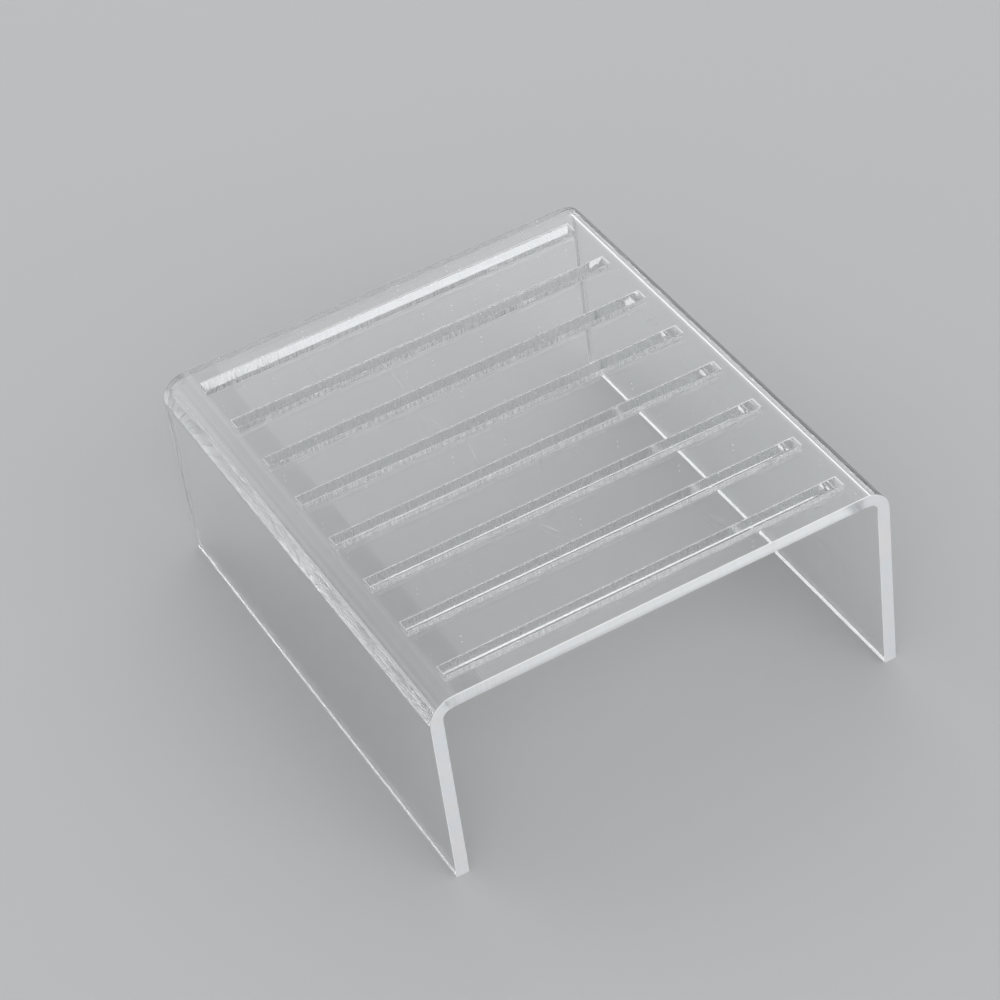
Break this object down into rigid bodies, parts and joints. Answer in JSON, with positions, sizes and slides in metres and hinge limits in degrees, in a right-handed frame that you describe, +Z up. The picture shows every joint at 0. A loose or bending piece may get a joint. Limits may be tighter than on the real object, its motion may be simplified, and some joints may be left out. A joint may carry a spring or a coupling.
{
  "type": "acrylic earring display",
  "caption": "Clear folded-sheet riser with a row of parallel slots in its top, along which bar earrings lie with their ball ends seated.",
  "frame": {"origin": "on the table, under the middle of the top: the centre of the underside of the two legs", "axes": "+X from the left leg to the right leg, +Y from the front edge to the back edge, +Z up"},
  "size_m": [0.109, 0.125, 0.0495],
  "materials": {
    "clear_acrylic": "colourless clear acrylic sheet with glossy faces and milky, finely lined cut edges"
  },
  "bodies": {
    "root": {"slotted_riser": "clear_acrylic"}
  },
  "joints": []
}
